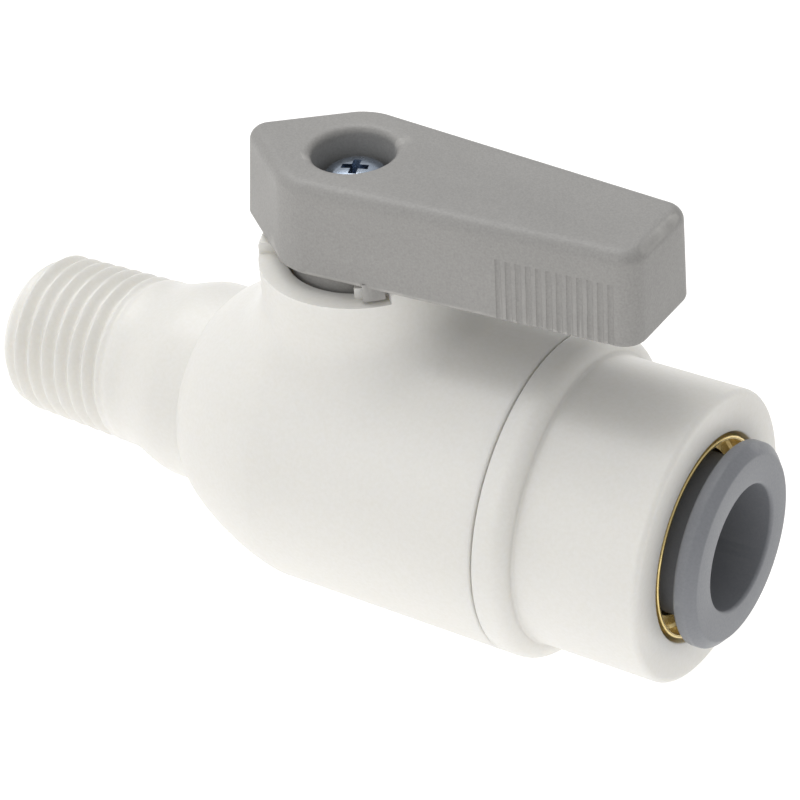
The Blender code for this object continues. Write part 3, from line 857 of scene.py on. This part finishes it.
@dataclass
class EndAdapter:
    """White moulded end piece: spigot in the barrel, rounded flange and the port's collar."""

    chambers: Chambers
    start: float = 49.5
    flange_end: float = 52.1
    radius: float = 12.8
    shoulder: float = 1.3
    port_radius: float = 11.3
    port_face: float = 62.25
    mouth_edge: float = 0.5
    chamber_radius: float = 8.1
    sleeve_start: float = 56.3
    seal_start: float = 52.8
    seal_radius: float = 6.8
    socket_radius: float = 4.95
    tube_stop: float = 47.3
    seal_x: float = 46.3
    seal_ring: float = 9.0
    edge: float = 0.2

    def build(self, finishes: Finishes) -> None:
        """Make the adapter and dress it."""
        inner = self.chambers
        half = inner.seal_section + GAP
        groove = self.seal_ring - half
        start = STEM_X + inner.pocket
        line = [
            (start, inner.spigot - 0.3), (start + 0.3, inner.spigot),
            (self.seal_x - half, inner.spigot), (self.seal_x - half, groove),
            (self.seal_x + half, groove), (self.seal_x + half, inner.spigot),
            (self.start, inner.spigot),
        ]
        line += curve((self.start + self.edge, self.radius - self.edge), self.edge, 180, 90, 3)
        bend = (self.flange_end - self.shoulder, self.radius - self.shoulder)
        line += curve(bend, self.shoulder, 90, 0, 10)
        line += curve((self.flange_end + 0.25, self.port_radius + 0.25), 0.25, 180, 270, 3)
        line += [(56.0, self.port_radius), (59.0, self.port_radius)]
        mouth = (self.port_face - self.mouth_edge, self.port_radius - self.mouth_edge)
        line += curve(mouth, self.mouth_edge, 90, 0, 6)
        rim = 0.15
        line += curve((self.port_face - rim, self.chamber_radius + rim), rim, 0, -90, 3)
        line += [
            (self.sleeve_start, self.chamber_radius), (self.sleeve_start, self.seal_radius),
            (self.seal_start, self.seal_radius), (self.seal_start, self.socket_radius),
            (self.tube_stop, self.socket_radius), (self.tube_stop, inner.bore),
        ]
        line += inner.pocket_line(1)
        adapter = Work.turned("port_end_adapter", line)
        adapter.done(finishes, "white_moulding", Body.CASE, "end_adapter")


@dataclass
class RetainerSleeve:
    """Thin brass liner of the port, with the inner lip that keeps the collet in."""

    start: float = 57.3
    face: float = 62.25
    outer: float = 7.8
    inner: float = 7.5
    lip: Point = (59.5, 60.6)
    lip_radius: float = 6.5
    back_radius: float = 7.3

    def build(self, finishes: Finishes) -> None:
        """Make the sleeve and dress it."""
        half = (self.outer - self.inner) / 2
        line = [(self.start, self.back_radius), (self.start, self.outer)]
        line += curve((self.face - half, self.outer - half), half, 90, -90, 6)
        line += [(self.lip[1] + 0.2, self.inner), (self.lip[1], self.inner - 0.2)]
        line += [(self.lip[1], self.lip_radius), (self.lip[0], self.lip_radius)]
        line += [(self.lip[0], self.back_radius)]
        sleeve = Work.turned("port_retainer_sleeve", line)
        sleeve.done(finishes, "brass_liner", Body.CASE, "retainer_sleeve")


# ------------------------------------------------------------------------------------ moving pieces


@dataclass
class ReleaseCollet:
    """Grey split sleeve that frees the tube when its thumb flange is pressed."""

    nose: float = 58.4
    lip: Point = (58.6, 59.2)
    lip_radius: float = 7.0
    sleeve_radius: float = 6.2
    flange_back: float = 63.4
    flange_edge: float = 64.3
    face: float = 65.0
    flange_radius: float = 7.9
    face_radius: float = 7.2
    bore: float = 4.85
    slot_width: float = 1.0
    slot_end: float = 60.9

    def build(self, finishes: Finishes) -> None:
        """Make the collet and dress it."""
        back = 0.25
        line = [
            (self.nose, self.bore), (self.nose, self.sleeve_radius), (self.lip[0], self.lip_radius),
            (self.lip[1], self.lip_radius), (self.lip[1], self.sleeve_radius),
        ]
        line += curve((self.flange_back - 0.3, self.sleeve_radius + 0.3), 0.3, 270, 360, 3)
        line += curve((self.flange_back + back, self.flange_radius - back), back, 180, 90, 3)
        line += curve((self.flange_edge - 0.1, self.flange_radius - 0.35), 0.35, 90, 45, 3)
        line += curve((self.face - 0.3, self.face_radius - 0.15), 0.3, 50, 0, 4)
        line += curve((self.face - 0.3, self.bore + 0.3), 0.3, 0, -90, 4)
        collet = Work.turned("release_collet_sleeve", line)
        half = self.slot_width / 2
        for turn in (45, 135):
            low = (self.nose - 1, -10, -half)
            slot = Work.block("slot_cutter", low, (self.slot_end, 10, half))
            collet.cut(slot.turn(turn, "X", (0, 0, 0)))
        collet.done(finishes, "collet_plastic", Body.COLLET, "release_collet")


@dataclass
class Ball:
    """Polished ball with the flow bore through it and the stem's slot across its top."""

    chambers: Chambers
    slot_width: float = 2.6
    slot_floor: float = 5.9
    mouth: float = 0.35

    def build(self, finishes: Finishes) -> None:
        """Make the ball and dress it."""
        inner = self.chambers
        start = math.degrees(math.asin((inner.bore + self.mouth) / inner.ball))
        line = curve((0.0, 0.0), inner.ball, 180 - start, start, 44)
        reach = line[-1][0]
        line += [(reach - self.mouth, inner.bore), (self.mouth - reach, inner.bore)]
        ball = Work.turned("bored_ball", [(STEM_X + x, radius) for x, radius in line])
        half = self.slot_width / 2
        low = (STEM_X - half, -inner.ball - 1, self.slot_floor)
        ball.cut(Work.block("slot_cutter", low, (STEM_X + half, inner.ball + 1, inner.ball + 2)))
        ball.done(finishes, "ball_plastic", Body.BALL, "ball")


@dataclass
class Lever:
    """Warm grey handle: blunt nose, widest over the stem, tapering to a ribbed grip."""

    nose: float = -9.8
    nose_half: float = 0.75
    shoulder: float = -2.45
    shoulder_half: float = 6.5
    tip: float = 25.7
    tip_half: float = 4.3
    bottom: float = 18.1
    top: float = 25.65
    draft: float = 0.3
    nose_draft: float = 0.75
    nose_round: float = 1.2
    shoulder_round: float = 4.0
    tip_round: float = 1.4
    top_round: float = 1.0
    bottom_round: float = 0.3
    top_steps: int = 7
    bottom_steps: int = 3
    grid_pitch: tuple[float, float, float] = (1.04, 0.97, 0.6)
    grid_start: tuple[float, float, float] = (0.03, 0.02, 0.45)
    grid_counts: tuple[int, int] = (33, 5)
    hub_radius: float = 5.4
    hub_bottom: float = 16.0
    socket_half: float = 2.8
    socket_top: float = 19.9
    web_top: float = 20.9
    hole: float = 1.8
    well: float = 3.15
    well_round: float = 0.6
    cells: tuple[tuple[float, float, float], ...] = (
        (8.7, 13.1, 3.5), (14.3, 18.7, 3.2), (19.9, 23.9, 2.9),
    )
    cell_top: float = 24.0
    tab_radii: Point = (6.8, 7.4)
    tab_angles: Point = (-56.5, -43.5)
    tab_bottom: float = 17.05
    tab_sink: float = 0.4
    ribs: int = 12
    rib_start: float = 15.14
    rib_pitch: float = 0.79
    rib_top: float = 23.1
    rib_radius: float = 0.3
    rib_depth: float = 0.13

    def half_width(self, along: float) -> float:
        """Half width of the grip at a distance from the stem's axis."""
        share = (along - self.shoulder) / (self.tip - self.shoulder)
        return self.shoulder_half + (self.tip_half - self.shoulder_half) * share

    def blank(self) -> Work:
        """Handle as a solid: tapered and drafted, every edge rounded, sliced into an even grid."""
        crown = self.top - self.top_round
        low = (STEM_X + self.nose, -self.shoulder_half, self.bottom + self.bottom_round)
        high = (STEM_X + self.tip, self.shoulder_half, crown)
        handle = Work.block("ribbed_lever", low, high).slice_at(STEM_X + self.shoulder)
        rest = (STEM_X, 0, 0)
        nose_x, tip_x = STEM_X + self.nose, STEM_X + self.tip
        thin = self.nose_half / self.shoulder_half
        handle.narrow(lambda p: p.x < nose_x + 0.1, (1, thin, 1), rest)
        slim = self.tip_half / self.shoulder_half
        handle.narrow(lambda p: p.x > tip_x - 0.1, (1, slim, 1), rest)
        draft = 1 - self.draft / self.shoulder_half
        handle.narrow(lambda p: p.z > crown - 0.1, (1, draft, 1), rest)
        lean = 1 + self.nose_draft / self.nose
        handle.narrow(lambda p: p.z > crown - 0.1 and p.x < STEM_X, (lean, 1, 1), rest)
        rise = math.atan2(self.shoulder_half - self.nose_half, self.shoulder - self.nose)
        fall = math.atan2(self.shoulder_half - self.tip_half, self.tip - self.shoulder)
        corners = (
            (self.nose, self.nose_half, self.nose_round, math.pi / 2 + rise, 8),
            (self.shoulder, self.shoulder_half, self.shoulder_round, math.pi - rise - fall, 10),
            (self.tip, self.tip_half, self.tip_round, math.pi / 2 - fall, 8),
        )
        for x, y, radius, inside, segments in corners:

            def upright(first: Vector, second: Vector) -> bool:
                """Whether an edge stands on this corner of the plan."""
                low, high = sorted((first, second), key=lambda end: end.z)
                share = lean if x < 0 else 1.0
                spread = abs(low.x - STEM_X - x) + abs(high.x - STEM_X - x * share)
                side = max(abs(abs(end.y) - y) for end in (low, high))
                return spread < 0.05 and side < self.draft + 0.05 and high.z - low.z > 1

            handle.round_edges(upright, radius / math.tan(inside / 2), segments)

        handle.round_over(1, self.top_round, self.top_steps)
        handle.round_over(-1, self.bottom_round, self.bottom_steps)
        long, wide, tall = self.grid_pitch
        x, y, z = self.grid_start
        along, half = self.grid_counts
        for i in range(1, along + 1):
            handle.slice_at(STEM_X + self.nose + x + i * long)
        for i in range(-half, half + 1):
            handle.slice_at(i * wide + y, (0, 1, 0))
            handle.slice_at(self.bottom + z + (i + half) * tall, (0, 0, 1))
        return handle

    def stop_tab(self) -> Work:
        """Tab under the handle that runs in the boss's notch."""
        low, high = self.tab_radii
        top = self.bottom + self.tab_sink
        line = [(self.tab_bottom, low), (self.tab_bottom, high), (top, high), (top, low)]
        return Work.turned("tab_form", line, Axis.STEM).wedge(*self.tab_angles)

    def well_cutter(self) -> Work:
        """Cutter for the screw's hole and its well with a rounded rim."""
        line = [(self.socket_top - 1, 0.0), (self.socket_top - 1, self.hole)]
        line += [(self.web_top, self.hole), (self.web_top, self.well)]
        rim = (self.top - self.well_round, self.well + self.well_round)
        line += [(z, r) for z, r in curve(rim, self.well_round, 270, 360, 5)]
        line += [(self.top + 1, rim[1]), (self.top + 1, 0.0)]
        return Work.turned("well_cutter", line, Axis.STEM)

    def grooves(self) -> Work:
        """Cutters for the grooves between the grip's ribs, on both sides."""
        made = []
        lift = 1 - self.draft / self.shoulder_half * (self.rib_top - self.bottom) / (
            self.top - self.bottom
        )
        foot = self.bottom - 1
        for index in range(self.ribs):
            along = self.rib_start + index * self.rib_pitch
            out = self.half_width(along) + self.rib_radius - self.rib_depth
            for side in (-1, 1):
                low = (STEM_X + along, side * out, foot)
                rod = Work.rod("groove_cutter", self.rib_radius, low, self.rib_top - foot, 14)
                made.append(rod)
        first = made[0].gather(made[1:])
        return first.narrow(lambda p: p.z > self.bottom, (1, lift, 1), (0, 0, 0))

    def build(self, finishes: Finishes) -> None:
        """Make the lever and dress it."""
        lever = self.blank()
        hub = [(self.hub_bottom, 0.0), (self.hub_bottom, self.hub_radius - 0.2)]
        hub += [(self.hub_bottom + 0.2, self.hub_radius), (self.bottom + 1, self.hub_radius)]
        lever.join(Work.turned("hub_form", hub + [(self.bottom + 1, 0.0)], Axis.STEM))
        lever.join(self.stop_tab())
        side = self.socket_half
        low = (STEM_X - side, -side, self.hub_bottom - 1)
        lever.cut(Work.block("socket_cutter", low, (STEM_X + side, side, self.socket_top)))
        for start, end, half in self.cells:
            low = (STEM_X + start, -half, self.bottom - 1)
            lever.cut(Work.block("cell_cutter", low, (STEM_X + end, half, self.cell_top)))
        lever.cut(self.well_cutter())
        lever.cut(self.grooves())
        lever.done(finishes, "lever_plastic", Body.LEVER, "lever")


@dataclass
class LeverScrew:
    """Zinc-plated pan-head screw with a cross recess."""

    tip: float = 16.0
    root: float = 1.15
    crest: float = 1.5
    pitch: float = 0.9
    seat: float = 21.9
    head: float = 2.5
    height: float = 2.3
    wing: float = 1.55
    blade: float = 0.4
    floor: float = 0.9
    angles: Point = (20.0, 110.0)

    def build(self, finishes: Finishes) -> None:
        """Make the screw and dress it."""
        line = [(self.tip, 0.0), (self.tip, self.root)]
        station = self.tip + self.pitch / 2
        while station + self.pitch < self.seat:
            line += [(station, self.crest), (station + self.pitch / 2, self.root)]
            station += self.pitch
        half = self.height / 2
        line += [(self.seat, self.root), (self.seat, self.head - 0.15)]
        line += [(self.seat + 0.15, self.head)]
        for i in range(10):
            turn = math.pi / 2 * i / 10
            up = self.seat + half * (1 + math.sin(turn))
            line.append((up, self.head * math.cos(turn) ** 0.6))
        line.append((self.seat + self.height, 0.0))
        screw = Work.turned("cross_head_screw", line, Axis.STEM, 64)
        floor = self.seat + self.floor
        for turn in self.angles:
            low = (STEM_X - self.wing, -self.blade, floor)
            high = (STEM_X + self.wing, self.blade, self.seat + 2 * self.height)
            bar = Work.block("recess_cutter", low, high)
            bar.narrow(lambda p: p.z < floor + 0.1, (0.45, 0.6, 1), (STEM_X, 0, 0))
            screw.cut(bar.turn(turn, "Z", (STEM_X, 0, 0)))
        screw.done(finishes, "zinc_plate", Body.LEVER, "lever_screw")


# ------------------------------------------------------------------------------------------ studio


@dataclass(frozen=True)
class Lamp:
    """Soft square lamp that points at the stem; its place and size are in metres."""

    name: str
    place: tuple[float, float, float]
    size: float
    watts: float

    def hang(self) -> None:
        """Put the lamp in the scene."""
        data = bpy.data.lights.new(self.name, "AREA")
        data.size = self.size
        data.energy = self.watts
        lamp = bpy.data.objects.new(self.name, data)
        bpy.context.scene.collection.objects.link(lamp)
        lamp.location = self.place
        aim = Vector((STEM_X * MM, 0, 0)) - lamp.location
        lamp.rotation_euler = aim.to_track_quat("-Z", "Y").to_euler()


@dataclass
class Studio:
    """Pale floor, soft white light and the camera; the floor's size and the clips are in metres."""

    azimuth: float = 35.346
    elevation: float = 34.892
    roll: float = -4.889
    distance: float = 228.158
    aim_right: float = 1.626
    aim_up: float = 2.585
    lens: float = 131.212
    sensor: float = 36.0
    clips: Point = (0.01, 20.0)
    floor_size: float = 4.0
    floor_gap: float = 0.01
    floor_glow: float = 0.8
    sky_strength: float = 0.5
    lamps: tuple[Lamp, ...] = (
        Lamp("overhead", (-0.13, 0.08, 0.42), size=0.34, watts=1.15),
        Lamp("front_fill", (-0.12, -0.45, 0.22), size=0.4, watts=0.45),
    )

    def camera(self) -> None:
        """Set the camera on the view that shows the lever, the boss and the port's mouth."""
        azimuth, elevation, roll = (
            math.radians(a) for a in (self.azimuth, self.elevation, self.roll)
        )
        flat = math.cos(elevation)
        back = Vector((math.sin(azimuth) * flat, -math.cos(azimuth) * flat, math.sin(elevation)))
        right = (-back).cross(Vector((0, 0, 1))).normalized()
        up = right.cross(-back)
        across = math.cos(roll) * right + math.sin(roll) * up
        upward = math.cos(roll) * up - math.sin(roll) * right
        data = bpy.data.cameras.new("view")
        data.sensor_width = self.sensor
        data.lens = self.lens
        data.clip_start, data.clip_end = self.clips
        eye = bpy.data.objects.new("view", data)
        bpy.context.scene.collection.objects.link(eye)
        offset = back * self.distance + across * self.aim_right + upward * self.aim_up
        turn = Matrix((across, upward, back)).transposed().to_4x4()
        turn.translation = (offset + Vector((STEM_X, 0, 0))) * MM
        eye.matrix_world = turn
        bpy.context.scene.camera = eye

    def floor(self) -> None:
        """Lay a pale floor under the valve."""
        Work.clear()
        height = CAD_BOX[0].z - self.floor_gap * MM
        bpy.ops.mesh.primitive_plane_add(size=self.floor_size, location=(0, 0, height))
        ground = bpy.context.active_object
        ground.name = "floor"
        shader = Shader("pale_floor")
        tone = shader.noise(40.0, 2.0)
        ground.data.materials.append(
            shader.dress(
                Base_Color=shader.blend(tone, (0.4, 0.39, 0.375), (0.42, 0.41, 0.395)),
                Roughness=0.9,
                Emission_Color=(1.0, 1.0, 1.0),
                Emission_Strength=self.floor_glow,
            )
        )

    def build(self) -> None:
        """Set up everything that isn't part of the valve."""
        self.camera()
        self.floor()
        world = bpy.data.worlds.new("white_room")
        world.use_nodes = True
        sky = world.node_tree.nodes["Background"]
        sky.inputs["Color"].default_value = (1.0, 1.0, 1.0, 1.0)
        sky.inputs["Strength"].default_value = self.sky_strength
        bpy.context.scene.world = world
        bpy.context.scene.view_settings.view_transform = "Standard"
        for lamp in self.lamps:
            lamp.hang()


# -------------------------------------------------------------------------------------------- main


def dress_inner_parts(finishes: Finishes) -> None:
    """Give every CAD node that still shows the finish of its slot in the record."""
    for row in frame["record"]["subparts"]:
        node = frame["nodes"][row["node"]]
        if not node.hide_render:
            finishes.dress(node, row["material_slot"])
            LOG.info("%s: carried over in %s", row["node"], row["material_slot"])


def main() -> None:
    """Build the valve's pieces in order, then the studio round them."""
    logging.basicConfig(level=logging.INFO, format="%(message)s")
    finishes = Finishes()
    chambers = Chambers()
    Studio().build()
    pieces = (
        ValveBody(chambers), EndAdapter(chambers), RetainerSleeve(), ReleaseCollet(),
        Ball(chambers), Lever(), LeverScrew(),
    )
    for piece in pieces:
        piece.build(finishes)
    dress_inner_parts(finishes)


if __name__ == "__main__":
    main()
